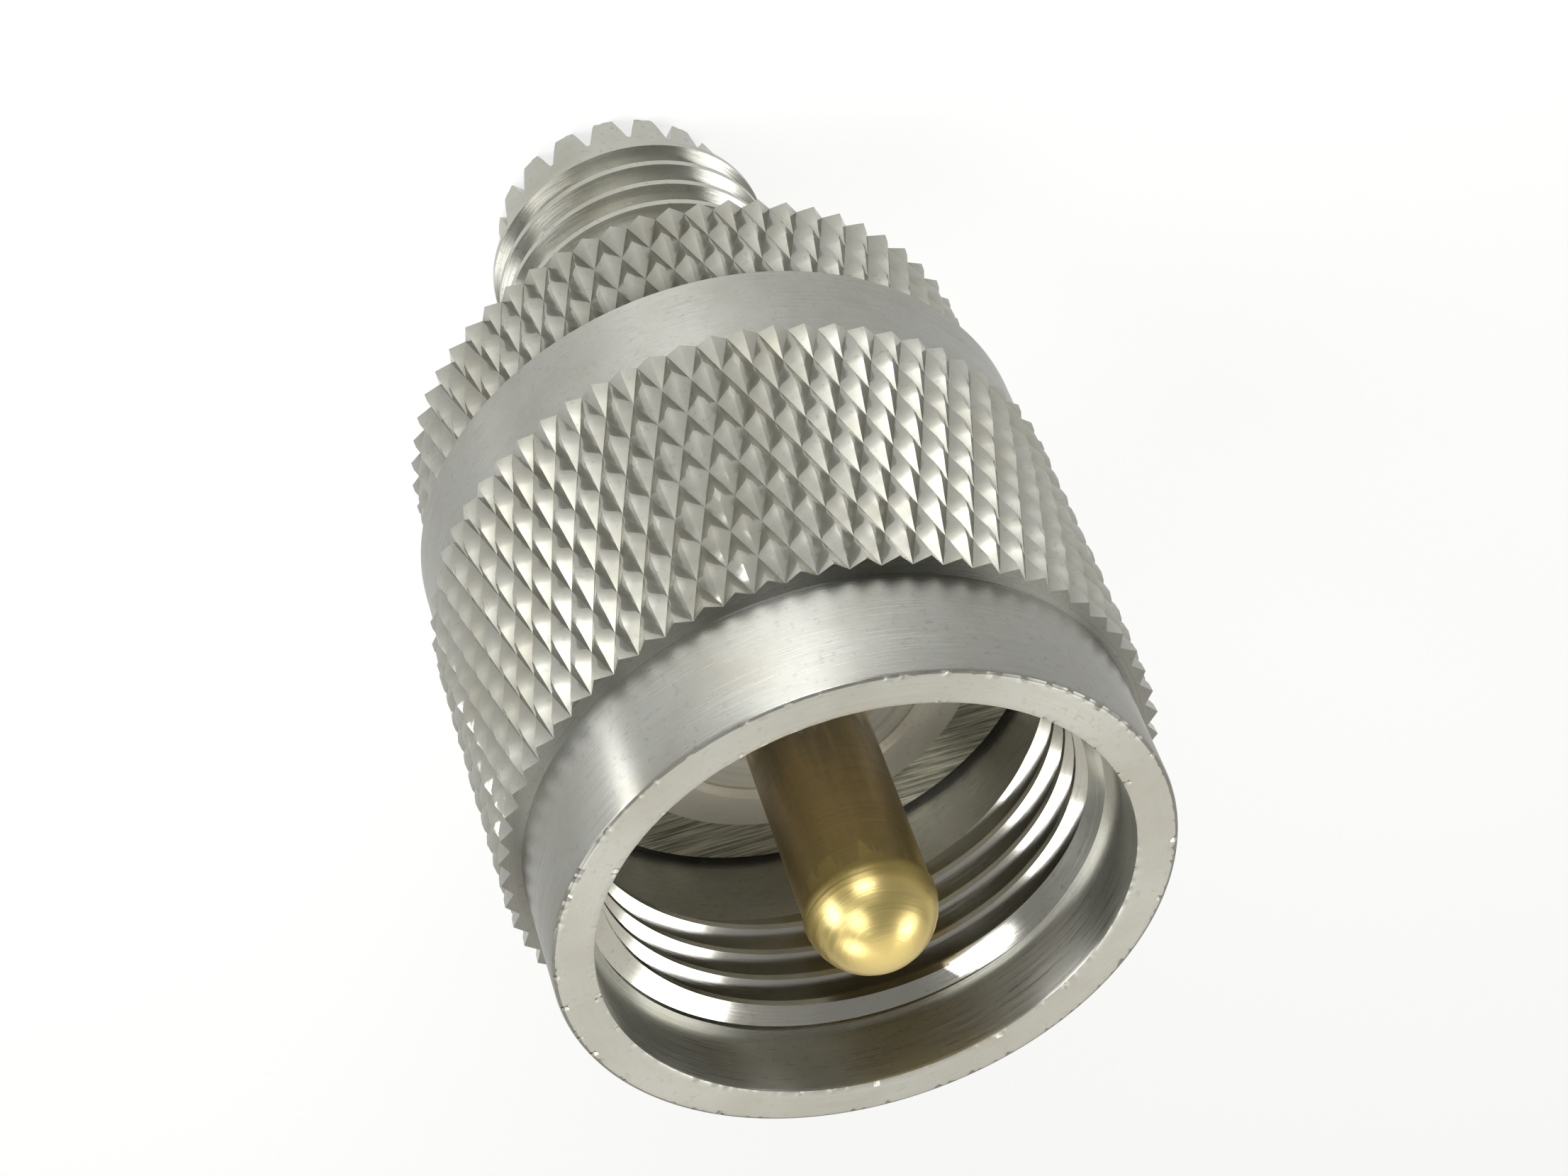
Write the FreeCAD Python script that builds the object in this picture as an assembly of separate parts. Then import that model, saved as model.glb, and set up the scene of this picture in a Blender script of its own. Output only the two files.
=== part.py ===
"""Coaxial adapter: a plug with a turning coupling nut at the top, a small threaded jack at the foot.

Millimetres, +Z up. The part stands on the toothed end of its jack, so z = 0 is the plane of the
tooth tips and the axis of the whole stack is the Z axis.
"""
import FreeCAD, Part
import math
import os

# Centre conductor and the insulators that hold it
pin_radius = 2.0
pin_stand_out = 2.0
pin_shoulder = 0.4
plug_insulator_wall = 2.5
plug_insulator_set_back = 0.3
contact_radius = 1.3
contact_flange_margin = 0.3
contact_flange_thickness = 1.2
contact_bore_radius = 0.85
contact_bore_depth = 5.0
contact_slot_width = 0.28
contact_slot_stop = 0.8
contact_slot_count = 4
contact_set_back = 2.2
contact_stand_out = 0.3
contact_spigot_radius = 0.8
contact_spigot_length = 3.0
jack_insulator_wall = 1.8

# Jack at the foot: a threaded shell whose end is a ring of teeth
crown_length = 2.2
crown_step = 0.1625
tooth_count = 18
tooth_depth = 1.05
tooth_gap_width = 0.73
jack_thread_wall = 1.6625
jack_thread_length = 9.2
jack_thread_depth = 0.55
jack_relief_width = 0.7
jack_relief_undercut = 0.07
jack_bore_chamfer = 0.35
jack_shank_wall = 1.1
jack_shank_length = 3.4

# Body: a knurled collar to hold, and a smooth barrel that carries the nut
collar_radius = 9.3
collar_length = 3.87
barrel_wall = 1.45
barrel_lip = 0.55
barrel_edge = 0.15
plug_bore_chamfer = 0.2

# Coupling nut, with room between barrel and thread for the shell that it draws in
nut_length = 17.25
nut_shell_space = 1.42
nut_thread_length = 4.5
nut_thread_depth = 0.57
nut_mouth_step = 0.16
nut_mouth_depth = 2.3
nut_relief_step = 0.21
nut_relief_length = 3.6
nut_front_wall = 1.3
nut_front_band_length = 3.95
nut_knurl_height = 0.7
nut_rear_band_step = 0.3
nut_rear_band_length = 2.95
nut_edge = 0.12

# Knurl, the same on the nut and on the collar
knurl_pitch = 0.96
knurl_half_cell = 1.29
knurl_depth = 0.35
knurl_run_out = 0.03

# Both threads are right-handed, with 24 turns to the inch
thread_pitch = 25.4 / 24
thread_facet_width = 1.4

# Retaining ring, a flat spring clip in a groove of the barrel
ring_thickness = 0.6
ring_side_gap = 0.25
ring_gap_width = 2.4
ring_groove_depth = 0.5

# Clearances
nut_running_clearance = 0.06
nut_end_gap = 0.25
ring_end_gap = 0.2
ring_groove_play = 0.02
web_clearance = 0.6

# Radii, each built up from the one inside it
pin_shank_radius = pin_radius - pin_shoulder
plug_bore_radius = pin_radius + plug_insulator_wall
barrel_radius = plug_bore_radius + barrel_wall
nut_thread_minor_radius = barrel_radius + nut_shell_space
nut_thread_major_radius = nut_thread_minor_radius + nut_thread_depth
nut_mouth_radius = nut_thread_major_radius + nut_mouth_step
nut_relief_radius = nut_thread_major_radius + nut_relief_step
nut_front_band_radius = nut_mouth_radius + nut_front_wall
nut_knurl_radius = nut_front_band_radius + nut_knurl_height
nut_rear_band_radius = nut_knurl_radius - nut_rear_band_step
ring_radius = nut_relief_radius - ring_side_gap
jack_bore_radius = contact_radius + jack_insulator_wall
jack_thread_radius = jack_bore_radius + jack_thread_wall
jack_thread_root_radius = jack_thread_radius - jack_thread_depth
jack_relief_radius = jack_thread_root_radius - jack_relief_undercut
crown_radius = jack_thread_root_radius - crown_step
jack_shank_radius = jack_bore_radius + jack_shank_wall
contact_flange_radius = jack_bore_radius - contact_flange_margin

# Levels along the axis, each worked out from the one below it
contact_tip = contact_set_back
jack_insulator_face = contact_tip + contact_stand_out
thread_top = crown_length + jack_thread_length
collar_bottom = thread_top
collar_top = collar_bottom + collar_length
shank_top = collar_bottom + jack_shank_length
plug_bore_floor = shank_top + contact_flange_thickness
nut_bottom = collar_top + nut_end_gap
mouth = nut_bottom + nut_length
nut_mouth_floor = mouth - nut_mouth_depth
nut_thread_end = nut_mouth_floor - nut_thread_length
nut_shoulder = nut_thread_end - nut_relief_length
ring_bottom = nut_shoulder + ring_end_gap
ring_top = ring_bottom + ring_thickness
barrel_face = ring_top + barrel_lip
plug_insulator_face = barrel_face - plug_insulator_set_back
pin_tip = mouth + pin_stand_out

ORIGIN = FreeCAD.Vector(0, 0, 0)
AXIS = FreeCAD.Vector(0, 0, 1)
NO_AREA = 1e-6


def turned(outline):
    """Solid turned about the axis from a closed outline of (radius, level) points."""
    points = [FreeCAD.Vector(radius, 0, level) for radius, level in outline]
    face = Part.Face(Part.makePolygon(points + points[:1]))
    return face.revolve(ORIGIN, AXIS, 360)


def turned_skin(outline):
    """Open skin turned about the axis, for a piece that a knurl or a thread closes."""
    points = [FreeCAD.Vector(radius, 0, level) for radius, level in outline]
    return Part.makePolygon(points).revolve(ORIGIN, AXIS, 360).Faces


def knurl_ring(crest, valley, level, columns, row):
    """One ring of the knurl: crests and valleys take turns, and change places from row to row."""
    ring = []
    for column in range(columns):
        angle = 2 * math.pi * column / columns
        radius = crest if (row + column) % 2 == 0 else valley
        ring.append(FreeCAD.Vector(radius * math.cos(angle), radius * math.sin(angle), level))
    return ring


def triangle(a, b, c):
    return Part.Face(Part.makePolygon([a, b, c, a]))


def step_face(ring, level, radius):
    """Flat face between a many-sided ring and the round edge of its plain neighbour."""
    edge = Part.makePolygon(ring + ring[:1])
    circle = Part.Wire(Part.makeCircle(radius, FreeCAD.Vector(0, 0, level), AXIS))
    return Part.makeFace([edge, circle], "Part::FaceMakerBullseye")


def knurled_band(crest, bottom, top, bottom_radius, top_radius):
    """Diamond knurl between two levels, with the flat step at each end down to a plain radius."""
    columns = 2 * round(2 * math.pi * crest / knurl_pitch)
    rows = max(1, round((top - bottom) / knurl_half_cell))
    rings = []
    for row in range(rows + 1):
        valley = crest - knurl_depth
        if row == 0:
            valley = max(valley, bottom_radius + knurl_run_out)
        if row == rows:
            valley = max(valley, top_radius + knurl_run_out)
        level = bottom + (top - bottom) * row / rows
        rings.append(knurl_ring(crest, valley, level, columns, row))

    faces = []
    for row in range(rows):
        lower, upper = rings[row], rings[row + 1]
        for column in range(columns):
            beside = (column + 1) % columns
            if (row + column) % 2 == 0:
                faces.append(triangle(lower[column], lower[beside], upper[column]))
                faces.append(triangle(upper[beside], upper[column], lower[beside]))
            else:
                faces.append(triangle(lower[column], lower[beside], upper[beside]))
                faces.append(triangle(upper[beside], upper[column], lower[column]))

    faces.append(step_face(rings[0], bottom, bottom_radius))
    faces.append(step_face(rings[-1], top, top_radius))
    return faces


def thread_column(root, crest, bottom, top, turn, half_turns):
    """Points up the thread at one place round it, with root and crest in turn half a pitch apart.

    They start a pitch below the band, and what lies outside it is held at its edge.
    """
    column = []
    for half_turn in range(half_turns):
        level = bottom + thread_pitch * (turn + half_turn / 2 - 1)
        radius = crest if half_turn % 2 and bottom < level < top else root
        level = min(max(level, bottom), top)
        angle = 2 * math.pi * turn
        column.append(FreeCAD.Vector(radius * math.cos(angle), radius * math.sin(angle), level))
    return column


def threaded_band(root, crest, bottom, top, bottom_radius, top_radius):
    """Right-hand V thread between two levels, with the flat step at each end to a plain radius."""
    sides = round(2 * math.pi * crest / thread_facet_width)
    half_turns = math.ceil(2 * ((top - bottom) / thread_pitch + 1)) + 1
    columns = [thread_column(root, crest, bottom, top, side / sides, half_turns)
               for side in range(sides + 1)]
    faces = []
    for near, far in zip(columns, columns[1:]):
        for half_turn in range(half_turns - 1):
            corners = near[half_turn], far[half_turn], far[half_turn + 1], near[half_turn + 1]
            for a, b, c in ((0, 1, 2), (0, 2, 3)):
                if (corners[b] - corners[a]).cross(corners[c] - corners[a]).Length > NO_AREA:
                    faces.append(triangle(corners[a], corners[b], corners[c]))
    faces.append(step_face([column[0] for column in columns[:-1]], bottom, bottom_radius))
    faces.append(step_face([column[-1] for column in columns[:-1]], top, top_radius))
    return faces


def sewn(faces):
    """Closed solid from faces that meet edge to edge."""
    shell = Part.makeShell(faces)
    shell.sewShape()
    solid = Part.Solid(shell.Shells[0])
    if solid.Volume < 0:
        solid.reverse()
    return solid


def save(name, shape):
    if not shape.isValid():
        raise ValueError(name + " is not a valid solid")
    shape.exportStep("parts/" + name + ".step")
    print(name, "solids", len(shape.Solids), "volume", round(shape.Volume, 2))


def coupling_nut():
    """Knurled nut: counterbored mouth, thread, relief for the retaining ring, and a long bore."""
    bore = barrel_radius + nut_running_clearance
    knurl_bottom = nut_bottom + nut_rear_band_length
    knurl_top = mouth - nut_front_band_length
    skin = turned_skin([
        (nut_front_band_radius, knurl_top),
        (nut_front_band_radius, mouth - nut_edge),
        (nut_front_band_radius - nut_edge, mouth),
        (nut_mouth_radius + nut_edge, mouth),
        (nut_mouth_radius, mouth - nut_edge),
        (nut_mouth_radius, nut_mouth_floor),
    ])
    skin += turned_skin([
        (nut_relief_radius, nut_thread_end),
        (nut_relief_radius, nut_shoulder),
        (bore, nut_shoulder),
        (bore, nut_bottom),
        (nut_rear_band_radius - nut_edge, nut_bottom),
        (nut_rear_band_radius, nut_bottom + nut_edge),
        (nut_rear_band_radius, knurl_bottom),
    ])
    band = knurled_band(nut_knurl_radius, knurl_bottom, knurl_top,
                        nut_rear_band_radius, nut_front_band_radius)
    thread = threaded_band(nut_thread_major_radius, nut_thread_minor_radius,
                           nut_thread_end, nut_mouth_floor, nut_relief_radius, nut_mouth_radius)
    return sewn(skin + band + thread)


def plug_body():
    """Knurled collar and barrel in one turned piece, with the ring groove near the barrel's lip."""
    groove_radius = barrel_radius - ring_groove_depth
    web_radius = contact_flange_radius + web_clearance
    skin = turned_skin([
        (barrel_radius, collar_top),
        (barrel_radius, ring_bottom - ring_groove_play),
        (groove_radius, ring_bottom - ring_groove_play),
        (groove_radius, ring_top + ring_groove_play),
        (barrel_radius, ring_top + ring_groove_play),
        (barrel_radius, barrel_face - barrel_edge),
        (barrel_radius - barrel_edge, barrel_face),
        (plug_bore_radius + plug_bore_chamfer, barrel_face),
        (plug_bore_radius, barrel_face - plug_bore_chamfer),
        (plug_bore_radius, plug_bore_floor),
        (web_radius, plug_bore_floor),
        (web_radius, shank_top),
        (jack_shank_radius, shank_top),
        (jack_shank_radius, collar_bottom),
    ])
    band = knurled_band(collar_radius, collar_bottom, collar_top, jack_shank_radius, barrel_radius)
    return sewn(skin + band)


def retaining_ring():
    """Flat split ring that sits in the barrel's groove and holds the nut on, open towards -Y."""
    inner = barrel_radius - ring_groove_depth + ring_groove_play
    disc = turned([
        (inner, ring_bottom),
        (ring_radius, ring_bottom),
        (ring_radius, ring_top),
        (inner, ring_top),
    ])
    corner = FreeCAD.Vector(-ring_gap_width / 2, -2 * ring_radius, ring_bottom - ring_thickness)
    gap = Part.makeBox(ring_gap_width, 2 * ring_radius, 3 * ring_thickness, corner)
    return disc.cut(gap)


def jack_shell():
    """Threaded shell with its shank pressed into the collar and V notches across its free end."""
    thread_end = thread_top - jack_relief_width
    skin = turned_skin([
        (jack_relief_radius, thread_end),
        (jack_relief_radius, thread_top),
        (jack_shank_radius, thread_top),
        (jack_shank_radius, shank_top),
        (jack_bore_radius, shank_top),
        (jack_bore_radius, jack_bore_chamfer),
        (jack_bore_radius + jack_bore_chamfer, 0),
        (crown_radius, 0),
        (crown_radius, crown_length),
    ])
    thread = threaded_band(jack_thread_root_radius, jack_thread_radius,
                           crown_length, thread_end, crown_radius, jack_relief_radius)
    solid = sewn(skin + thread)
    half_gap = tooth_gap_width / 2
    outside = -2 * crown_radius
    notch = triangle(
        FreeCAD.Vector(-half_gap, outside, 0),
        FreeCAD.Vector(half_gap, outside, 0),
        FreeCAD.Vector(0, outside, tooth_depth),
    ).extrude(FreeCAD.Vector(0, -outside, 0))
    for tooth in range(tooth_count):
        cutter = notch.copy()
        cutter.rotate(ORIGIN, AXIS, 360 * tooth / tooth_count)
        solid = solid.cut(cutter)
    return solid


def plug_insulator():
    """White bush in the barrel, clamped between the pin's shoulder and the contact's flange."""
    return turned([
        (pin_shank_radius, plug_bore_floor),
        (plug_bore_radius, plug_bore_floor),
        (plug_bore_radius, plug_insulator_face),
        (pin_shank_radius, plug_insulator_face),
    ])


def jack_insulator():
    """White bush that centres the socket contact in the jack shell."""
    return turned([
        (contact_radius, jack_insulator_face),
        (jack_bore_radius, jack_insulator_face),
        (jack_bore_radius, shank_top),
        (contact_radius, shank_top),
    ])


def centre_pin():
    """Round-nosed pin, with a thinner shank that passes through the plug's insulator."""
    nose = pin_tip - pin_radius
    shaft = turned([
        (0, plug_bore_floor),
        (pin_shank_radius, plug_bore_floor),
        (pin_shank_radius, plug_insulator_face),
        (pin_radius, plug_insulator_face),
        (pin_radius, nose),
        (0, nose),
    ])
    ball = Part.makeSphere(pin_radius, FreeCAD.Vector(0, 0, nose), AXIS, 0, 90, 360)
    spigot_hole = Part.makeCylinder(contact_spigot_radius, contact_spigot_length,
                                    FreeCAD.Vector(0, 0, plug_bore_floor), AXIS)
    return shaft.fuse(ball).removeSplitter().cut(spigot_hole)


def jack_contact():
    """Slotted socket with a flange between the insulators and a spigot pressed into the pin."""
    solid = turned([
        (contact_bore_radius, contact_tip),
        (contact_radius, contact_tip),
        (contact_radius, shank_top),
        (contact_flange_radius, shank_top),
        (contact_flange_radius, plug_bore_floor),
        (contact_spigot_radius, plug_bore_floor),
        (contact_spigot_radius, plug_bore_floor + contact_spigot_length),
        (0, plug_bore_floor + contact_spigot_length),
        (0, contact_tip + contact_bore_depth),
        (contact_bore_radius, contact_tip + contact_bore_depth),
    ])
    slot_length = contact_bore_depth - contact_slot_stop
    corner = FreeCAD.Vector(0, -contact_slot_width / 2, contact_tip - contact_radius)
    for slot in range(contact_slot_count):
        cutter = Part.makeBox(2 * contact_radius, contact_slot_width,
                              slot_length + contact_radius, corner)
        cutter.rotate(ORIGIN, AXIS, 360 * slot / contact_slot_count)
        solid = solid.cut(cutter)
    return solid


os.makedirs("parts", exist_ok=True)
save("coupling_nut", coupling_nut())
save("plug_body", plug_body())
save("retaining_ring", retaining_ring())
save("jack_shell", jack_shell())
save("plug_insulator", plug_insulator())
save("jack_insulator", jack_insulator())
save("centre_pin", centre_pin())
save("jack_contact", jack_contact())
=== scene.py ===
import bmesh
import bpy
import math
import random
from mathutils import Matrix, Vector


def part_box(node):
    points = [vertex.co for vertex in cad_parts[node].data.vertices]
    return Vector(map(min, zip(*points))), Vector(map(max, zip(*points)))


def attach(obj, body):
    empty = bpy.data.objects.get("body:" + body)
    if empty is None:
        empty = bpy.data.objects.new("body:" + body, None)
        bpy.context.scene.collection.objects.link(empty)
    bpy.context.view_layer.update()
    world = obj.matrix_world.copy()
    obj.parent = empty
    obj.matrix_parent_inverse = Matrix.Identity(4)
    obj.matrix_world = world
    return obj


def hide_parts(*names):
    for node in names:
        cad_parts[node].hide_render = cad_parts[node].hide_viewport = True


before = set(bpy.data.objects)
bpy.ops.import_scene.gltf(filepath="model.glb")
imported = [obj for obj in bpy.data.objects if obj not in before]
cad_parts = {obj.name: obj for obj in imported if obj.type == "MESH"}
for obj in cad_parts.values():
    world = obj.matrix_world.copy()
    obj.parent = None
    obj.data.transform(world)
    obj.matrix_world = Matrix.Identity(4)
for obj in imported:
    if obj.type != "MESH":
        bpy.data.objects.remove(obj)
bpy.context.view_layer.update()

# The coupling nut is nickel plated, with a plain band at each end and a diamond knurl between them.
# Inside it are a counterbored mouth, a thread of 24 turns to the inch, a relief and a long bore.
# Lengths are in millimetres, and a finished piece is scaled to metres.
MM = 0.001
nut_low, nut_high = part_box("coupling_nut")
ring_low, ring_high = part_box("retaining_ring")
nut_foot = nut_low.z / MM
nut_mouth = nut_high.z / MM
nut_crest = nut_high.x / MM
ring_end_gap = 0.2
nut_shoulder = ring_low.z / MM - ring_end_gap
knurl_height = 0.7
front_band_radius = nut_crest - knurl_height
front_band_length = 3.95
rear_band_step = 0.3
rear_band_radius = nut_crest - rear_band_step
rear_band_length = 2.95
mouth_radius = 8.1
mouth_depth = 2.3
inner_thread_minor = 7.37
inner_thread_major = 7.94
inner_thread_length = 4.5
inner_thread_chamfer = 0.5
relief_radius = 8.15
nut_bore_radius = 6.01
nut_edge = 0.12
edge_round = 0.3
thread_pitch = 25.4 / 24
thread_steps = 132
flank_angle = math.radians(30)
knurl_pitch = 0.96
knurl_half_cell = 1.29
knurl_depth = 0.35
knurl_run_out = 0.03
knurl_splits = 3
knurl_softness = 0.3
knurl_land = 0.08
crest_wobble = 0.04
band_margin = 0.01
rim_burr = 0.13
rim_guard = 1.3 * rim_burr
nick_count = 130
nick_depth = 0.08
nick_inwards = 0.7
same_rim = 1e-3
same_corner = 1e-4
sharp_angle = 25


def knurl_count(crest):
    """How many pyramids stand round a knurl of this crest radius."""
    return round(2 * math.pi * crest / knurl_pitch)


def knurled_band(bm, crest, foot, top, foot_floor, top_floor):
    """Pyramids between two levels: a spun grid, every other corner sunk, split along its grooves.

    The crests are left with small lands. Each corner's depth is kept, for the dirt and painted shade
    that darken the grooves.
    """
    sunk = bm.verts.layers.float.new("sunk")
    columns = 2 * knurl_count(crest)
    rows = round((top - foot) / knurl_half_cell)
    side = [bm.verts.new((crest, 0, foot + (top - foot) * row / rows)) for row in range(rows + 1)]
    edges = [bm.edges.new(pair) for pair in zip(side, side[1:])]
    bmesh.ops.spin(bm, geom=side + edges, cent=(0, 0, 0), axis=(0, 0, 1), dvec=(0, 0, 0),
                   angle=2 * math.pi, steps=columns, use_merge=True)
    chance = random.Random(7)
    grooves = []
    for corner in bm.verts:
        column = round(math.atan2(corner.co.y, corner.co.x) * columns / (2 * math.pi))
        row = round((corner.co.z - foot) * rows / (top - foot))
        if (column + row) % 2 == 0:
            depth = crest_wobble * chance.random()
        elif row == 0:
            depth = min(knurl_depth, crest - foot_floor - knurl_run_out)
        elif row == rows:
            depth = min(knurl_depth, crest - top_floor - knurl_run_out)
        else:
            depth = knurl_depth
        if (column + row) % 2:
            grooves.append(corner)
        corner.co.xy *= 1 - depth / crest
    bmesh.ops.connect_verts(bm, verts=grooves)
    bmesh.ops.subdivide_edges(bm, edges=bm.edges, cuts=knurl_splits, use_grid_fill=True)
    inside = {corner for corner in bm.verts if foot + band_margin < corner.co.z < top - band_margin}
    bmesh.ops.smooth_vert(bm, verts=list(inside), factor=knurl_softness,
                          use_axis_x=True, use_axis_y=True)
    for corner in bm.verts:
        depth = crest - corner.co.xy.length
        corner[sunk] = depth / knurl_depth
        if corner in inside:
            depth = max(0, depth - knurl_land) * knurl_depth / (knurl_depth - knurl_land)
            corner.co.xy *= (crest - depth) / corner.co.xy.length


def turned_skin(bm, outline, steps):
    """Skin turned about the axis from (radius, level) points."""
    corners = [bm.verts.new((radius, 0, level)) for radius, level in outline]
    edges = [bm.edges.new(pair) for pair in zip(corners, corners[1:])]
    bmesh.ops.spin(bm, geom=corners + edges, cent=(0, 0, 0), axis=(0, 0, 1), dvec=(0, 0, 0),
                   angle=2 * math.pi, steps=steps, use_merge=True)


def threaded_skin(bm, root, crest, foot, top):
    """Right-hand 60 degree thread: one pitch of lead per turn, trimmed flat at both levels."""
    thread = bmesh.new()
    half_flat = (thread_pitch - 2 * abs(crest - root) * math.tan(flank_angle)) / 4
    column = []
    for turn in range(-1, math.ceil((top - foot) / thread_pitch) + 1):
        middle = foot + turn * thread_pitch
        for radius, level in ((root, middle - half_flat), (root, middle + half_flat),
                              (crest, middle + thread_pitch / 2 - half_flat),
                              (crest, middle + thread_pitch / 2 + half_flat)):
            column.append(thread.verts.new((radius, 0, level)))
    edges = [thread.edges.new(pair) for pair in zip(column, column[1:])]
    bmesh.ops.spin(thread, geom=column + edges, cent=(0, 0, 0), axis=(0, 0, 1),
                   dvec=(0, 0, thread_pitch / thread_steps), angle=2 * math.pi, steps=thread_steps)
    bmesh.ops.remove_doubles(thread, verts=thread.verts, dist=same_corner)
    for level, outwards in ((foot, -1), (top, 1)):
        bmesh.ops.bisect_plane(thread, geom=thread.verts[:] + thread.edges[:] + thread.faces[:],
                               plane_co=(0, 0, level), plane_no=(0, 0, outwards), clear_outer=True)
    mesh = bpy.data.meshes.new("thread")
    thread.to_mesh(mesh)
    thread.free()
    bm.from_mesh(mesh)
    bpy.data.meshes.remove(mesh)


def step_face(bm, level):
    """Flat ring that joins the two open rims at a level."""
    rims = [edge for edge in bm.edges
            if edge.is_boundary and all(abs(corner.co.z - level) < same_corner for corner in edge.verts)]
    bmesh.ops.bridge_loops(bm, edges=rims)


def nick_rim(bm, level, radius, seed):
    """Small dents that plating and handling leave along a sharp turned edge."""
    chance = random.Random(seed)
    rim = [corner for corner in bm.verts
           if abs(corner.co.z - level) < same_rim and abs(corner.co.xy.length - radius) < same_rim]
    for corner in chance.sample(rim, nick_count):
        corner.co.z -= nick_depth * chance.random()
        corner.co.xy *= 1 + nick_depth * (chance.random() - nick_inwards) / radius


def piece_from(bm, name, smooth_angle=sharp_angle):
    """Finished object from a bmesh in millimetres."""
    bmesh.ops.remove_doubles(bm, verts=bm.verts, dist=same_corner)
    bmesh.ops.recalc_face_normals(bm, faces=bm.faces)
    bmesh.ops.scale(bm, vec=(MM, MM, MM), verts=bm.verts)
    mesh = bpy.data.meshes.new(name)
    bm.to_mesh(mesh)
    bm.free()
    mesh.shade_smooth()
    mesh.set_sharp_from_angle(angle=math.radians(smooth_angle))
    piece = bpy.data.objects.new(name, mesh)
    bpy.context.scene.collection.objects.link(piece)
    return piece


knurl_foot = nut_foot + rear_band_length
knurl_top = nut_mouth - front_band_length
mouth_floor = nut_mouth - mouth_depth
inner_thread_end = mouth_floor - inner_thread_length
nut_steps = 2 * knurl_count(nut_crest) * (knurl_splits + 1)
bm = bmesh.new()
knurled_band(bm, nut_crest, knurl_foot, knurl_top, rear_band_radius, front_band_radius)
turned_skin(bm, [
    (front_band_radius, knurl_top),
    (front_band_radius, nut_mouth - nut_edge),
    (front_band_radius - edge_round * nut_edge, nut_mouth - edge_round * nut_edge),
    (front_band_radius - nut_edge, nut_mouth),
    (front_band_radius - nut_edge - rim_burr, nut_mouth),
    (front_band_radius - nut_edge - rim_guard, nut_mouth),
    (mouth_radius + nut_edge + rim_guard, nut_mouth),
    (mouth_radius + nut_edge + rim_burr, nut_mouth),
    (mouth_radius + nut_edge, nut_mouth),
    (mouth_radius + edge_round * nut_edge, nut_mouth - edge_round * nut_edge),
    (mouth_radius, nut_mouth - nut_edge),
    (mouth_radius, mouth_floor),
], nut_steps)
turned_skin(bm, [
    (relief_radius, inner_thread_end),
    (relief_radius, nut_shoulder),
    (nut_bore_radius, nut_shoulder),
    (nut_bore_radius, nut_foot),
    (rear_band_radius - nut_edge, nut_foot),
    (rear_band_radius, nut_foot + nut_edge),
    (rear_band_radius, knurl_foot),
], nut_steps)
nick_rim(bm, nut_mouth, front_band_radius - nut_edge, seed=3)
nick_rim(bm, nut_mouth, mouth_radius + nut_edge, seed=5)
step_face(bm, knurl_foot)
step_face(bm, knurl_top)
threaded_skin(bm, inner_thread_major, inner_thread_minor, inner_thread_end, mouth_floor)
for corner in bm.verts:
    lead_in = corner.co.z - mouth_floor + inner_thread_chamfer
    least = inner_thread_minor + lead_in
    if 0 < lead_in < inner_thread_chamfer + same_rim and corner.co.xy.length < least:
        corner.co.xy *= least / corner.co.xy.length
step_face(bm, inner_thread_end)
step_face(bm, mouth_floor)
nut = piece_from(bm, "coupling_nut_visual")
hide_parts("coupling_nut")
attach(nut, "nut")


def wire(tree, *pairs):
    """Joins pairs of sockets."""
    for giver, taker in pairs:
        tree.links.new(giver, taker)


def node(tree, kind, operation=None, values=()):
    """New shader node, with its operation and its unlinked input values by place."""
    made = tree.nodes.new(kind)
    if operation:
        made.operation = operation
    for place, value in values:
        made.inputs[place].default_value = value
    return made


def node_group(name, inputs, outputs):
    """Empty group with float or colour sockets."""
    tree = bpy.data.node_groups.new(name, "ShaderNodeTree")
    for direction, sockets in (("INPUT", inputs), ("OUTPUT", outputs)):
        for socket, kind in sockets:
            tree.interface.new_socket(socket, in_out=direction, socket_type="NodeSocket" + kind)
    return tree, tree.nodes.new("NodeGroupInput"), tree.nodes.new("NodeGroupOutput")


# Turning marks: fine rings left by the tool, nearly even along each turn but not from turn to turn.
# Their height is noise over radius and level, which drifts a little across the piece.
tree, given, taken = node_group("turning_marks", [("Spacing", "Float")], [("Marks", "Float")])
place = node(tree, "ShaderNodeTexCoord")
split = node(tree, "ShaderNodeSeparateXYZ")
flat = node(tree, "ShaderNodeCombineXYZ", values=[("Z", 0)])
radius = node(tree, "ShaderNodeVectorMath", "LENGTH")
across = node(tree, "ShaderNodeCombineXYZ")
turn_drift = 0.02
drift = node(tree, "ShaderNodeMath", "MULTIPLY", [(1, turn_drift)])
density = node(tree, "ShaderNodeMath", "DIVIDE", [(0, 1)])
rings = node(tree, "ShaderNodeTexNoise", values=[("Detail", 3), ("Roughness", 0.7)])
wire(tree, (place.outputs["Object"], split.inputs[0]), (split.outputs["X"], flat.inputs["X"]),
     (split.outputs["Y"], flat.inputs["Y"]), (flat.outputs[0], radius.inputs[0]),
     (radius.outputs["Value"], across.inputs["X"]), (split.outputs["Z"], across.inputs["Y"]),
     (split.outputs["X"], drift.inputs[0]), (drift.outputs[0], across.inputs["Z"]),
     (given.outputs["Spacing"], density.inputs[1]), (density.outputs[0], rings.inputs["Scale"]),
     (across.outputs[0], rings.inputs["Vector"]), (rings.outputs["Fac"], taken.inputs["Marks"]))
turning_marks = tree

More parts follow.
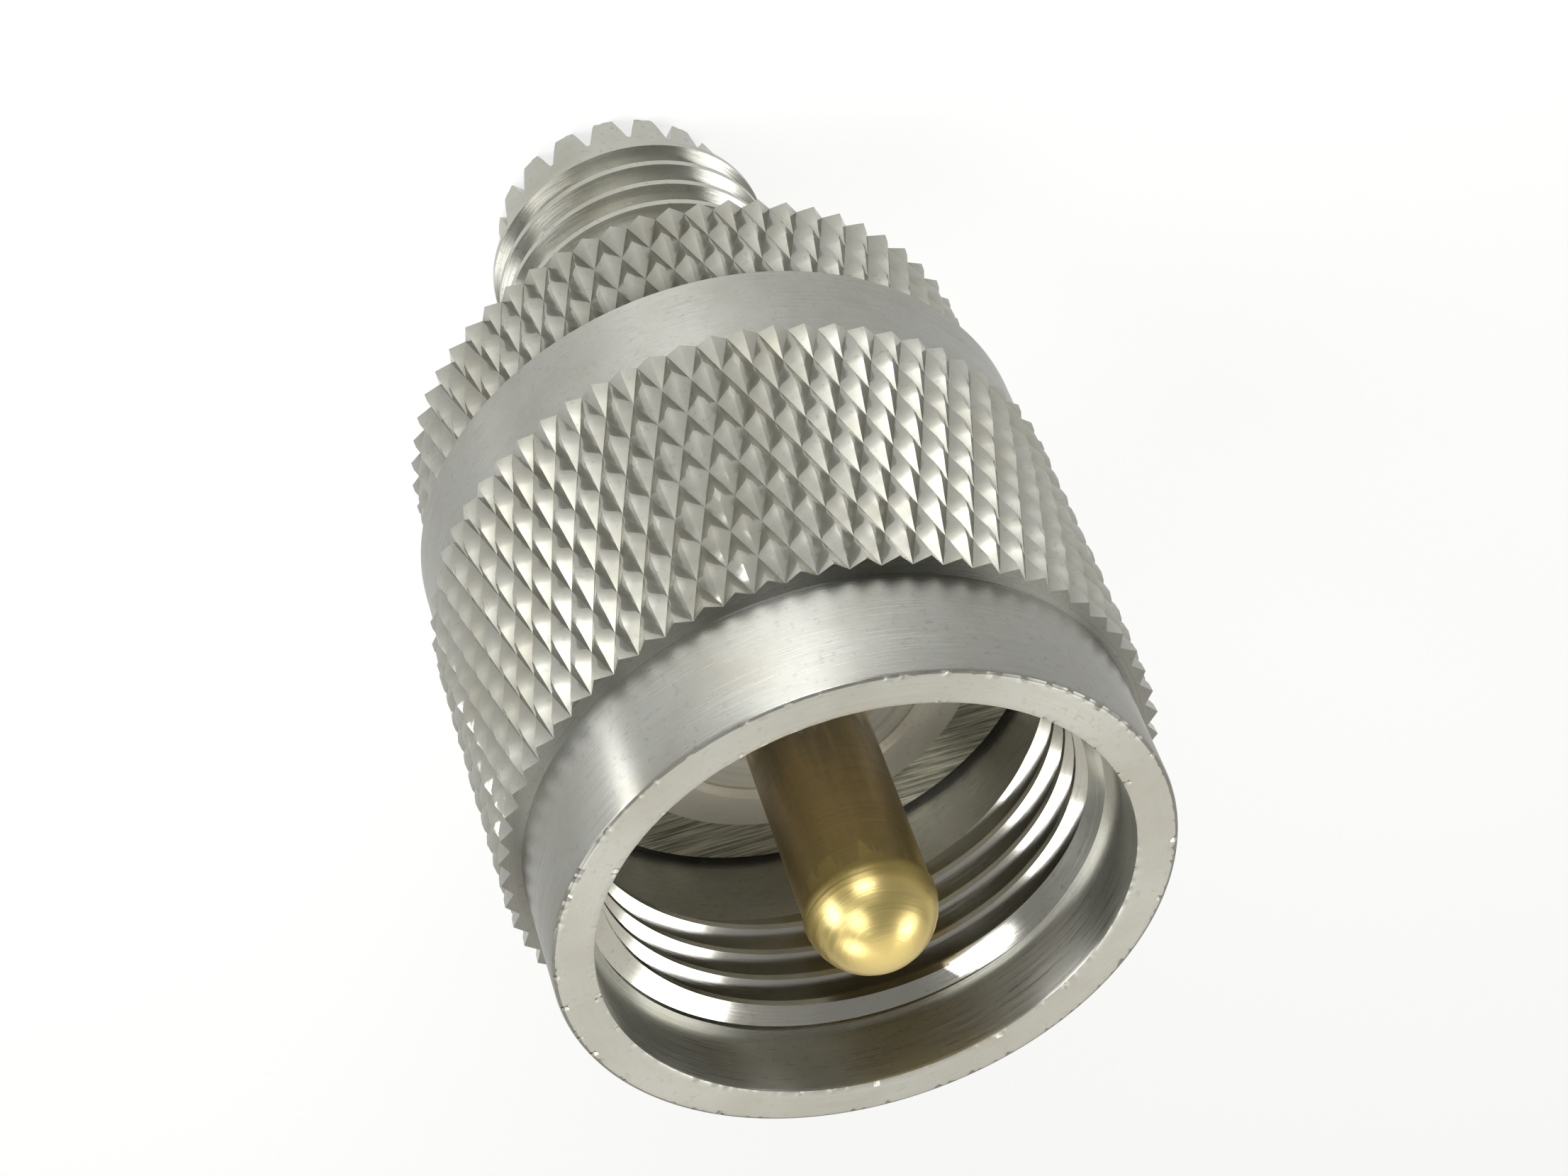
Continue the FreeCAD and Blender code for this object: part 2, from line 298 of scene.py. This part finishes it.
# Plate stains: soft clouds a few millimetres wide, with small dark specks where the plating is thin.
tree, given, taken = node_group(
    "plate_stains", [("Plate", "Color"), ("Stain", "Color"), ("Amount", "Float")], [("Colour", "Color")])
place = node(tree, "ShaderNodeTexCoord")
clouds = node(tree, "ShaderNodeTexNoise", values=[("Scale", 330), ("Detail", 5), ("Roughness", 0.6)])
specks = node(tree, "ShaderNodeTexNoise", values=[("Scale", 5200), ("Detail", 1)])
cloud_mask = node(tree, "ShaderNodeMapRange", values=[("From Min", 0.42), ("From Max", 0.72)])
speck_mask = node(tree, "ShaderNodeMapRange", values=[("From Min", 0.62), ("From Max", 0.72)])
both = node(tree, "ShaderNodeMath", "MAXIMUM")
amount = node(tree, "ShaderNodeMath", "MULTIPLY")
tint = tree.nodes.new("ShaderNodeMix")
tint.data_type = "RGBA"
wire(tree, (place.outputs["Object"], clouds.inputs["Vector"]),
     (place.outputs["Object"], specks.inputs["Vector"]),
     (clouds.outputs["Fac"], cloud_mask.inputs["Value"]),
     (specks.outputs["Fac"], speck_mask.inputs["Value"]),
     (cloud_mask.outputs[0], both.inputs[0]), (speck_mask.outputs[0], both.inputs[1]),
     (both.outputs[0], amount.inputs[0]), (given.outputs["Amount"], amount.inputs[1]),
     (amount.outputs[0], tint.inputs["Factor"]), (given.outputs["Plate"], tint.inputs["A"]),
     (given.outputs["Stain"], tint.inputs["B"]), (tint.outputs["Result"], taken.inputs["Colour"]))
plate_stains = tree


def turned_metal(name, plate, stain, stain_amount, roughness, anisotropic, spacing, relief):
    """Plated metal with turning marks in its roughness and relief, and stains in its colour."""
    material = bpy.data.materials.new(name)
    material.use_nodes = True
    tree = material.node_tree
    shader = tree.nodes["Principled BSDF"]
    shader.inputs["Metallic"].default_value = 1
    shader.inputs["Anisotropic"].default_value = anisotropic
    shader.inputs["Anisotropic Rotation"].default_value = 0.25
    stains = node(tree, "ShaderNodeGroup")
    stains.node_tree = plate_stains
    stains.inputs["Plate"].default_value = (*plate, 1)
    stains.inputs["Stain"].default_value = (*stain, 1)
    stains.inputs["Amount"].default_value = stain_amount
    marks = node(tree, "ShaderNodeGroup")
    marks.node_tree = turning_marks
    marks.inputs["Spacing"].default_value = spacing * MM
    smoothest = 0.8 * roughness
    roughest = 1.25 * roughness
    gloss = node(tree, "ShaderNodeMapRange", values=[
        ("From Min", 0.3), ("From Max", 0.7), ("To Min", smoothest), ("To Max", roughest)])
    mark_height = 0.01 * MM
    bump = node(tree, "ShaderNodeBump", values=[("Strength", relief), ("Distance", mark_height)])
    wire(tree, (stains.outputs["Colour"], shader.inputs["Base Color"]),
         (marks.outputs["Marks"], gloss.inputs["Value"]), (gloss.outputs[0], shader.inputs["Roughness"]),
         (marks.outputs["Marks"], bump.inputs["Height"]), (bump.outputs[0], shader.inputs["Normal"]))
    return material


face_nickel = turned_metal(
    "turned_nickel", plate=(0.58, 0.58, 0.54), stain=(0.42, 0.39, 0.31), stain_amount=0.35,
    roughness=0.3, anisotropic=0.8, spacing=0.05, relief=0.25)
# The bands take a darker copy of the same nickel, as painted shade.
shaded_band_nickel = turned_metal(
    "handled_and_shaded_nickel", plate=(0.29, 0.29, 0.27), stain=(0.20, 0.18, 0.13), stain_amount=0.4,
    roughness=0.3, anisotropic=0.85, spacing=0.05, relief=0.25)
# The knurl's plate is darker than the faces' nickel too, as painted shade.
knurl_nickel = turned_metal(
    "knurled_nickel", plate=(0.33, 0.33, 0.30), stain=(0.25, 0.23, 0.17), stain_amount=0.5,
    roughness=0.14, anisotropic=0, spacing=0.3, relief=0.2)
thread_nickel = turned_metal(
    "cut_thread_nickel", plate=(0.60, 0.59, 0.54), stain=(0.40, 0.37, 0.30), stain_amount=0.3,
    roughness=0.15, anisotropic=0.5, spacing=0.08, relief=0.2)

# Dirt sits in the grooves of the knurl, where a thumb doesn't wipe it away, and the same darkening is
# also painted shade there.
tree = knurl_nickel.node_tree
shader = tree.nodes["Principled BSDF"]
plate = shader.inputs["Base Color"].links[0].from_socket
sunk = node(tree, "ShaderNodeAttribute")
sunk.attribute_name = "sunk"
groove_dirt_and_shade = node(tree, "ShaderNodeMapRange", values=[("From Min", 0.3), ("From Max", 2), ("To Max", 1)])
dirt_and_shade_tint = tree.nodes.new("ShaderNodeMix")
dirt_and_shade_tint.data_type = "RGBA"
# This dark colour is dirt and painted shade in the grooves, and painted shadow at the collar's joint.
dirt_and_shade_tint.inputs["B"].default_value = (0.10, 0.10, 0.08, 1)
wire(tree, (sunk.outputs["Fac"], groove_dirt_and_shade.inputs["Value"]), (groove_dirt_and_shade.outputs[0], dirt_and_shade_tint.inputs["Factor"]),
     (plate, dirt_and_shade_tint.inputs["A"]), (dirt_and_shade_tint.outputs["Result"], shader.inputs["Base Color"]))


def dress(piece, foot, top, floor, band_floor):
    """Fresh plate on the faces and inside, handled plate made darker as painted shade on the bands, and
    its own darker plate, also painted shade, on the knurl.
    """
    for metal in (face_nickel, knurl_nickel, shaded_band_nickel, thread_nickel):
        piece.data.materials.append(metal)
    for face in piece.data.polygons:
        if foot * MM < face.center.z < top * MM and face.center.xy.length > floor * MM:
            face.material_index = 1
        elif face.center.xy.length > band_floor * MM:
            face.material_index = 2


dress(nut, knurl_foot, knurl_top, front_band_radius, front_band_radius - nut_edge)
for face in nut.data.polygons:
    if inner_thread_end < face.center.z / MM < mouth_floor and face.center.xy.length < mouth_radius * MM:
        face.material_index = 3

# The retaining ring is stamped from spring sheet and keeps the straight grain of the strip.
# It snaps into the barrel's groove, with its split towards -Y.
ring_radius = ring_high.x / MM
ring_inner = 5.47
ring_split = 2.4
ring_steps = 180
bm = bmesh.new()
corners = [bm.verts.new((radius, 0, level)) for radius, level in (
    (ring_inner, ring_low.z / MM), (ring_radius, ring_low.z / MM),
    (ring_radius, ring_high.z / MM), (ring_inner, ring_high.z / MM))]
section = bm.faces.new(corners)
ring_middle = 0.5 * (ring_inner + ring_radius)
split_angle = ring_split / ring_middle
bmesh.ops.rotate(bm, verts=corners, cent=(0, 0, 0),
                 matrix=Matrix.Rotation(split_angle / 2 - math.pi / 2, 3, "Z"))
bmesh.ops.spin(bm, geom=corners + list(section.edges), cent=(0, 0, 0), axis=(0, 0, 1), dvec=(0, 0, 0),
               angle=2 * math.pi - split_angle, steps=ring_steps)
bmesh.ops.holes_fill(bm, edges=bm.edges, sides=0)
ring = piece_from(bm, "retaining_ring_visual")
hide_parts("retaining_ring")
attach(ring, "body")

steel = bpy.data.materials.new("spring_steel")
steel.use_nodes = True
tree = steel.node_tree
shader = tree.nodes["Principled BSDF"]
shader.inputs["Metallic"].default_value = 0.5
shader.inputs["Roughness"].default_value = 0.38
place = node(tree, "ShaderNodeTexCoord")
turned_grain = node(tree, "ShaderNodeVectorRotate", values=[("Angle", math.radians(6))])
turned_grain.rotation_type = "Z_AXIS"
grain_stretch = (400, 9000, 400)
stretch = node(tree, "ShaderNodeVectorMath", "MULTIPLY", [(1, grain_stretch)])
grain = node(tree, "ShaderNodeTexNoise", values=[("Scale", 1), ("Detail", 4), ("Roughness", 0.65)])
grain_colour = node(tree, "ShaderNodeValToRGB")
grain_colour.color_ramp.elements[0].position = 0.38
grain_colour.color_ramp.elements[0].color = (0.20, 0.19, 0.15, 1)
grain_colour.color_ramp.elements[1].position = 0.68
grain_colour.color_ramp.elements[1].color = (0.88, 0.85, 0.68, 1)
bump = node(tree, "ShaderNodeBump", values=[("Strength", 0.5), ("Distance", 0.03 * MM)])
wire(tree, (place.outputs["Object"], turned_grain.inputs["Vector"]),
     (turned_grain.outputs[0], stretch.inputs[0]), (stretch.outputs[0], grain.inputs["Vector"]),
     (grain.outputs["Fac"], grain_colour.inputs["Fac"]),
     (grain_colour.outputs["Color"], shader.inputs["Base Color"]),
     (grain.outputs["Fac"], bump.inputs["Height"]), (bump.outputs[0], shader.inputs["Normal"]))
ring.data.materials.append(steel)

# The body is one turned piece: a knurled collar for the fingers and the smooth barrel inside the nut.
# Its front face is the flat ring round the insulator. The collar is darkened where it meets the nut, as
# painted shadow, and the barrel's plate is dulled and given a lighter colour as painted light, so that
# it shows the light that falls into the nut.
body_low, body_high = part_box("plug_body")
collar_foot = body_low.z / MM
collar_crest = body_high.x / MM
nut_end_gap = 0.25
collar_top = nut_foot - nut_end_gap
barrel_face = body_high.z / MM
barrel_radius = 5.95
barrel_edge = 0.15
groove_depth = 0.5
plug_bore_radius = 4.5
plug_bore_chamfer = 0.2
# The collar's end by the nut is darkened over this length, as painted shadow at the joint.
joint_painted_shade = 1.4
joint_shade_length = 0.9
shank_radius = 4.2
plug_low, plug_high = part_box("plug_insulator")
bm = bmesh.new()
knurled_band(bm, collar_crest, collar_foot, collar_top, shank_radius, barrel_radius)
sunk = bm.verts.layers.float["sunk"]
# The joint's painted shadow is added to each corner's depth, which darkens the knurl.
for corner in bm.verts:
    corner[sunk] += joint_painted_shade * max(0, 1 - (collar_top - corner.co.z) / joint_shade_length)
turned_skin(bm, [
    (barrel_radius, collar_top),
    (barrel_radius, ring_low.z / MM),
    (barrel_radius - groove_depth, ring_low.z / MM),
    (barrel_radius - groove_depth, ring_high.z / MM),
    (barrel_radius, ring_high.z / MM),
    (barrel_radius, barrel_face - barrel_edge),
    (barrel_radius - edge_round * barrel_edge, barrel_face - edge_round * barrel_edge),
    (barrel_radius - barrel_edge, barrel_face),
    (plug_bore_radius + plug_bore_chamfer, barrel_face),
    (plug_bore_radius, barrel_face - plug_bore_chamfer),
    (plug_bore_radius, plug_low.z / MM),
    (shank_radius, plug_low.z / MM),
    (shank_radius, collar_foot),
], 2 * knurl_count(collar_crest) * (knurl_splits + 1))
step_face(bm, collar_foot)
step_face(bm, collar_top)
body = piece_from(bm, "plug_body_visual")
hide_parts("plug_body")
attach(body, "body")
dress(body, collar_foot, collar_top, barrel_radius, collar_crest)
# The barrel's plate is a lighter copy of the nickel, painted light that lifts the shade inside the nut.
lightened_barrel_nickel = turned_metal(
    "lightened_barrel_nickel", plate=(0.86, 0.83, 0.72), stain=(0.6, 0.56, 0.44), stain_amount=0.4,
    roughness=0.5, anisotropic=0, spacing=0.08, relief=0.4)
lightened_barrel_nickel.node_tree.nodes["Principled BSDF"].inputs["Metallic"].default_value = 0.5
body.data.materials[0] = lightened_barrel_nickel

# The jack shell is pressed into the collar. Its thread stops at a relief under the collar, and V notches
# with a widened mouth leave a crown of teeth at its free end, with small burrs on their tips.
shell_low, shell_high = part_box("jack_shell")
crown_length = 2.2
crown_radius = 4.05
crown_bore = 3.1
crown_chamfer = 0.35
crown_edge = 0.1
tooth_count = 18
tooth_depth = 1.05
notch_mouth = 0.48
notch_overrun = 0.01
notch_lip = 0.40
notch_lip_depth = 0.08
notch_shoulder = 0.33
notch_shoulder_depth = 0.22
notch_floor = 0.06
cutter_inset = 0.1
cutter_reach = 0.5
jack_thread_radius = shell_high.x / MM
jack_thread_depth = 0.55
jack_thread_root = jack_thread_radius - jack_thread_depth
jack_relief_undercut = 0.07
jack_relief_radius = jack_thread_root - jack_relief_undercut
jack_relief = 0.7
jack_thread_end = collar_foot - jack_relief
burr_height = 0.05
burr_reach = 0.3
shell_steps = 216
bm = bmesh.new()
corners = [bm.verts.new((across, crown_bore - cutter_inset, level)) for across, level in (
    (-notch_mouth, -notch_overrun), (notch_mouth, -notch_overrun),
    (notch_lip, notch_lip_depth), (notch_shoulder, notch_shoulder_depth),
    (notch_floor, tooth_depth), (-notch_floor, tooth_depth),
    (-notch_shoulder, notch_shoulder_depth), (-notch_lip, notch_lip_depth))]
notch = bm.faces.new(corners)
prism = bmesh.ops.extrude_face_region(bm, geom=[notch])
bmesh.ops.translate(bm, vec=(0, crown_radius - crown_bore + cutter_reach, 0),
                    verts=[corner for corner in prism["geom"] if isinstance(corner, bmesh.types.BMVert)])
bmesh.ops.spin(bm, geom=bm.verts[:] + bm.edges[:] + bm.faces[:],
               cent=(0, 0, 0), axis=(0, 0, 1), dvec=(0, 0, 0),
               angle=2 * math.pi * (tooth_count - 1) / tooth_count, steps=tooth_count - 1,
               use_duplicate=True)
notches = piece_from(bm, "notches")
bm = bmesh.new()
turned_skin(bm, [
    (jack_relief_radius, jack_thread_end),
    (jack_relief_radius, collar_foot),
    (shank_radius, collar_foot),
    (shank_radius, shell_high.z / MM),
    (crown_bore, shell_high.z / MM),
    (crown_bore, crown_chamfer),
    (crown_bore + crown_chamfer, 0),
    (crown_radius - crown_edge, 0),
    (crown_radius, crown_edge),
    (crown_radius, crown_length),
], shell_steps)
threaded_skin(bm, jack_thread_root, jack_thread_radius, crown_length, jack_thread_end)
step_face(bm, crown_length)
step_face(bm, jack_thread_end)
shell = piece_from(bm, "jack_shell_visual")
cut = shell.modifiers.new("cut", "BOOLEAN")
cut.operation = "DIFFERENCE"
cut.solver = "EXACT"
cut.object = notches
bpy.context.view_layer.update()
cut_shell = shell.evaluated_get(bpy.context.evaluated_depsgraph_get())
shell.data = bpy.data.meshes.new_from_object(cut_shell)
shell.modifiers.clear()
shell.data.shade_smooth()
shell.data.set_sharp_from_angle(angle=math.radians(sharp_angle))
bpy.data.objects.remove(notches)
chance = random.Random(11)
for corner in shell.data.vertices:
    if corner.co.z < burr_reach * MM:
        corner.co.z += burr_height * MM * chance.random()
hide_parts("jack_shell")
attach(shell, "body")
shell.data.materials.clear()
shell.data.materials.append(turned_metal(
    "jack_nickel", plate=(0.44, 0.44, 0.40), stain=(0.28, 0.26, 0.20), stain_amount=0.5,
    roughness=0.22, anisotropic=0.6, spacing=0.08, relief=0.3))

# A white bush fills the barrel and centres the pin.
# Its face has faint rings, and stands a little behind the barrel's.
pin_low, pin_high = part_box("centre_pin")
pin_radius = pin_high.x / MM
pin_shoulder = 0.4
pin_shank_radius = pin_radius - pin_shoulder
bush_steps = 144
bm = bmesh.new()
turned_skin(bm, [
    (pin_shank_radius, plug_low.z / MM),
    (plug_bore_radius, plug_low.z / MM),
    (plug_bore_radius, plug_high.z / MM),
    (pin_shank_radius, plug_high.z / MM),
    (pin_shank_radius, plug_low.z / MM),
], bush_steps)
bush = piece_from(bm, "plug_insulator_visual")
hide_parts("plug_insulator")
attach(bush, "body")

plastic = bpy.data.materials.new("white_plastic")
plastic.use_nodes = True
tree = plastic.node_tree
shader = tree.nodes["Principled BSDF"]
shader.inputs["Roughness"].default_value = 0.3
marks = node(tree, "ShaderNodeGroup")
marks.node_tree = turning_marks
marks.inputs["Spacing"].default_value = 0.25 * MM
shade = node(tree, "ShaderNodeValToRGB")
shade.color_ramp.elements[0].position = 0.35
shade.color_ramp.elements[0].color = (0.56, 0.53, 0.44, 1)
shade.color_ramp.elements[1].position = 0.65
shade.color_ramp.elements[1].color = (0.70, 0.68, 0.60, 1)
bump = node(tree, "ShaderNodeBump", values=[("Strength", 0.4), ("Distance", 0.02 * MM)])
wire(tree, (marks.outputs["Marks"], shade.inputs["Fac"]),
     (shade.outputs["Color"], shader.inputs["Base Color"]),
     (marks.outputs["Marks"], bump.inputs["Height"]), (bump.outputs[0], shader.inputs["Normal"]))
bush.data.materials.append(plastic)

# The centre pin is turned brass with thin gold plating that has worn to brown on its sides.
# By the bush face its gold is painted lighter, as painted light in the nut's shade. Its round nose keeps
# the rings that the form tool left.
nose_level = pin_high.z / MM - pin_radius
nose_rings = 24
ring_depth = 0.012
neck = 0.06
pin_steps = 96
bm = bmesh.new()
turned_skin(bm, [
    (0, pin_low.z / MM),
    (pin_shank_radius, pin_low.z / MM),
    (pin_shank_radius, plug_high.z / MM),
    (pin_radius - neck, plug_high.z / MM),
    (pin_radius - neck, nose_level - neck),
] + [
    ((pin_radius - ring_depth * (step % 2)) * math.cos(math.pi / 2 * step / nose_rings),
     nose_level + (pin_radius - ring_depth * (step % 2)) * math.sin(math.pi / 2 * step / nose_rings))
    for step in range(nose_rings + 1)
], pin_steps)
pin = piece_from(bm, "centre_pin_visual", smooth_angle=60)
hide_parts("centre_pin")
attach(pin, "body")

gold = turned_metal(
    "gold_plate", plate=(0.78, 0.64, 0.30), stain=(0.30, 0.20, 0.08), stain_amount=0,
    roughness=0.34, anisotropic=0.3, spacing=0.14, relief=0.9)
tree = gold.node_tree
shader = tree.nodes["Principled BSDF"]
place = node(tree, "ShaderNodeTexCoord")
split = node(tree, "ShaderNodeSeparateXYZ")
along = node(tree, "ShaderNodeMapRange", values=[
    ("From Min", plug_high.z), ("From Max", nose_level * MM)])
along.clamp = False
rub_stretch = (1500, 1500, 200)
stretch = node(tree, "ShaderNodeVectorMath", "MULTIPLY", [(1, rub_stretch)])
rubs = node(tree, "ShaderNodeTexNoise", values=[("Scale", 1), ("Detail", 4), ("Roughness", 0.6)])
uneven = node(tree, "ShaderNodeMapRange", values=[("To Min", -0.3), ("To Max", 0.3)])
worn = node(tree, "ShaderNodeMath", "MULTIPLY")
shaft_end = 0.985
on_shaft = node(tree, "ShaderNodeMath", "LESS_THAN", [(1, shaft_end)])
where = node(tree, "ShaderNodeMath", "ADD")
wear_and_light = node(tree, "ShaderNodeValToRGB")
# The two lightest stops by the bush face are painted light; the brown stops are worn plating.
wear_and_light_stops = (
    (0.02, (1.0, 0.85, 0.42, 1)),
    (0.18, (0.92, 0.74, 0.35, 1)),
    (0.36, (0.27, 0.23, 0.16, 1)),
    (0.55, (0.46, 0.35, 0.19, 1)),
    (0.80, (0.62, 0.47, 0.22, 1)),
    (0.975, (0.70, 0.55, 0.25, 1)),
    (0.99, (0.84, 0.67, 0.27, 1)),
)
for position, colour in wear_and_light_stops:
    stop = wear_and_light.color_ramp.elements.new(position)
    stop.color = colour
wear_and_light.color_ramp.elements.remove(wear_and_light.color_ramp.elements[-1])
wear_and_light.color_ramp.elements.remove(wear_and_light.color_ramp.elements[0])
wire(tree, (place.outputs["Object"], split.inputs[0]), (split.outputs["Z"], along.inputs["Value"]),
     (place.outputs["Object"], stretch.inputs[0]), (stretch.outputs[0], rubs.inputs["Vector"]),
     (rubs.outputs["Fac"], uneven.inputs["Value"]), (along.outputs[0], on_shaft.inputs[0]),
     (uneven.outputs[0], worn.inputs[0]), (on_shaft.outputs[0], worn.inputs[1]),
     (along.outputs[0], where.inputs[0]), (worn.outputs[0], where.inputs[1]),
     (where.outputs[0], wear_and_light.inputs["Fac"]), (wear_and_light.outputs["Color"], shader.inputs["Base Color"]))
pin.data.materials.append(gold)

# The bush inside the jack keeps its CAD shape and takes the plastic of the plug's bush.
# It stands inside the toothed end, which faces away from the camera.
jack_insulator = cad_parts["jack_insulator"]
jack_insulator.data.materials.clear()
jack_insulator.data.materials.append(plastic)

# The slotted socket in the jack keeps its CAD shape and takes the pin's gold.
# Its open end faces away from the camera, which doesn't see it.
jack_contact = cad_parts["jack_contact"]
jack_contact.data.materials.clear()
jack_contact.data.materials.append(gold)

# The camera looks down into the nut's mouth, turned over so that the jack points up in the picture.
camera_data = bpy.data.cameras.new("camera")
camera_data.lens = 93.81
camera_data.sensor_width = 36
camera_data.clip_start = 0.005
camera = bpy.data.objects.new("camera", camera_data)
camera.location = (0, -0.09163, 0.10774)
camera.rotation_euler = (math.radians(-44.211), math.radians(-14.749), math.radians(165.921))
bpy.context.scene.collection.objects.link(camera)
bpy.context.scene.camera = camera

# The part stands on a pale floor, which the camera and the metal see half lightened.
floor_reach = 2
half_lightened = 0.5
bm = bmesh.new()
bmesh.ops.create_grid(bm, x_segments=1, y_segments=1, size=floor_reach)
floor_mesh = bpy.data.meshes.new("floor")
bm.to_mesh(floor_mesh)
bm.free()
floor = bpy.data.objects.new("floor", floor_mesh)
bpy.context.scene.collection.objects.link(floor)
pale = bpy.data.materials.new("pale_floor")
pale.use_nodes = True
tree = pale.node_tree
tree.nodes.remove(tree.nodes["Principled BSDF"])
paint = node(tree, "ShaderNodeBsdfDiffuse", values=[("Color", (0.9, 0.9, 0.89, 1))])
glow = node(tree, "ShaderNodeEmission")
seen = node(tree, "ShaderNodeLightPath")
camera_or_glossy = node(tree, "ShaderNodeMath", "MAXIMUM")
any_seen = node(tree, "ShaderNodeMath", "MAXIMUM")
share = node(tree, "ShaderNodeMath", "MULTIPLY", [(1, half_lightened)])
blend = node(tree, "ShaderNodeMixShader")
wire(tree, (seen.outputs["Is Camera Ray"], camera_or_glossy.inputs[0]),
     (seen.outputs["Is Glossy Ray"], camera_or_glossy.inputs[1]),
     (camera_or_glossy.outputs[0], any_seen.inputs[0]),
     (seen.outputs["Is Transmission Ray"], any_seen.inputs[1]), (any_seen.outputs[0], share.inputs[0]),
     (share.outputs[0], blend.inputs["Fac"]), (paint.outputs[0], blend.inputs[1]),
     (glow.outputs[0], blend.inputs[2]),
     (blend.outputs[0], tree.nodes["Material Output"].inputs["Surface"]))
floor.data.materials.append(pale)


# A low lamp makes a bright pool on the floor in front, which the knurl mirrors. Four larger round
# lamps stand in for windows: low on the left, high on the right, high behind, and high in front.
def soft_lamp(name, place, target, size, watts):
    """Round lamp turned to a target."""
    data = bpy.data.lights.new(name, "AREA")
    data.shape = "DISK"
    data.size = size
    data.energy = watts
    lamp = bpy.data.objects.new(name, data)
    lamp.location = place
    lamp.rotation_euler = (Vector(target) - Vector(place)).to_track_quat("-Z", "Y").to_euler()
    bpy.context.scene.collection.objects.link(lamp)


soft_lamp("front_pool", place=(-0.005, -0.087, 0.04), target=(-0.005, -0.087, 0), size=0.05, watts=0.22)
soft_lamp("left_window", place=(0.27, -0.10, 0.09), target=(0, 0, 0.02), size=0.12, watts=0.2)
soft_lamp("right_window", place=(-0.21, 0.09, 0.26), target=(0, 0.01, 0.02), size=0.16, watts=0.26)
soft_lamp("back_window", place=(0.20, 0.10, 0.25), target=(0, 0.01, 0.02), size=0.14, watts=0.18)
soft_lamp("fill_window", place=(0.15, -0.16, 0.28), target=(0, 0, 0.02), size=0.18, watts=0.28)

# A narrow upright strip close to the part draws the bright streak on the left of both bands.
# The camera doesn't see the strip itself.
strip_place = Vector((0.048, -0.031, 0.03))
strip_faces = Vector((-0.048, 0.031, 0))
streak = bpy.data.lights.new("streak_strip", "AREA")
streak.shape = "RECTANGLE"
streak.size = 0.005
streak.size_y = 0.05
streak.energy = 0.006
strip = bpy.data.objects.new("streak_strip", streak)
strip.location = strip_place
strip.rotation_euler = strip_faces.to_track_quat("-Z", "Y").to_euler()
strip.visible_camera = False
bpy.context.scene.collection.objects.link(strip)

# The room is dim all round, except for a broad bright patch high up beyond the part.
beyond_and_up = (0, 0.72, 0.69)
world = bpy.data.worlds.new("studio")
bpy.context.scene.world = world
world.use_nodes = True
tree = world.node_tree
background = tree.nodes["Background"]
background.inputs["Strength"].default_value = 1
place = node(tree, "ShaderNodeTexCoord")
beyond = node(tree, "ShaderNodeVectorMath", "DOT_PRODUCT", [(1, beyond_and_up)])
room = node(tree, "ShaderNodeValToRGB")
room.color_ramp.interpolation = "EASE"
room.color_ramp.elements[0].position = 0.55
room.color_ramp.elements[0].color = (0.26, 0.26, 0.25, 1)
room.color_ramp.elements[1].position = 0.95
room.color_ramp.elements[1].color = (0.95, 0.93, 0.86, 1)
wire(tree, (place.outputs["Generated"], beyond.inputs[0]), (beyond.outputs["Value"], room.inputs["Fac"]),
     (room.outputs["Color"], background.inputs["Color"]))
bpy.context.scene.view_settings.view_transform = "Standard"
